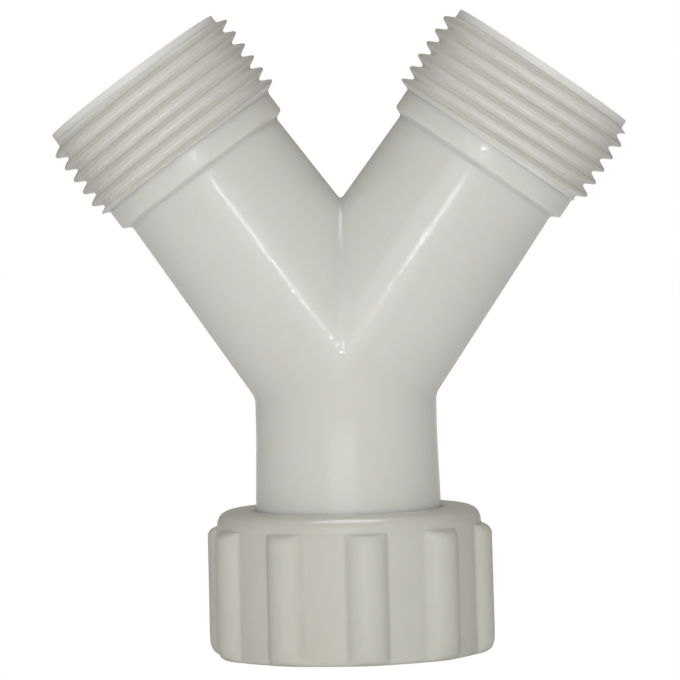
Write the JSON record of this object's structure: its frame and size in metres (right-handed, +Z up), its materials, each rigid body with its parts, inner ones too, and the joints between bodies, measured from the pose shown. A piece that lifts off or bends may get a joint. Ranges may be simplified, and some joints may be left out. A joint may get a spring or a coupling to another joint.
{
  "type": "double hose connector",
  "caption": "Moulded Y-shaped hose splitter with a ribbed swivel nut at the inlet and a male hose thread on each of its two outlets.",
  "frame": {"origin": "centre of the coupling nut's lower face, on the stem's axis", "axes": "+Z up the stem towards the outlets, +X towards the outlet on the right in the picture, +Y away from the viewer"},
  "size_m": [0.0694, 0.0348, 0.0776],
  "materials": {
    "body_plastic": "glossy",
    "nut_plastic": "matte",
    "washer_rubber": "matte"
  },
  "bodies": {
    "y_piece": {"y_body": "body_plastic", "sealing_washer": "washer_rubber"},
    "nut": {"coupling_nut": "nut_plastic"}
  },
  "joints": [
    {"name": "nut_swivel", "type": "hinge", "parent": "y_piece", "child": "nut", "pos_m": [0, 0, 0.0163], "axis": [0, 0, 1], "continuous": true}
  ]
}
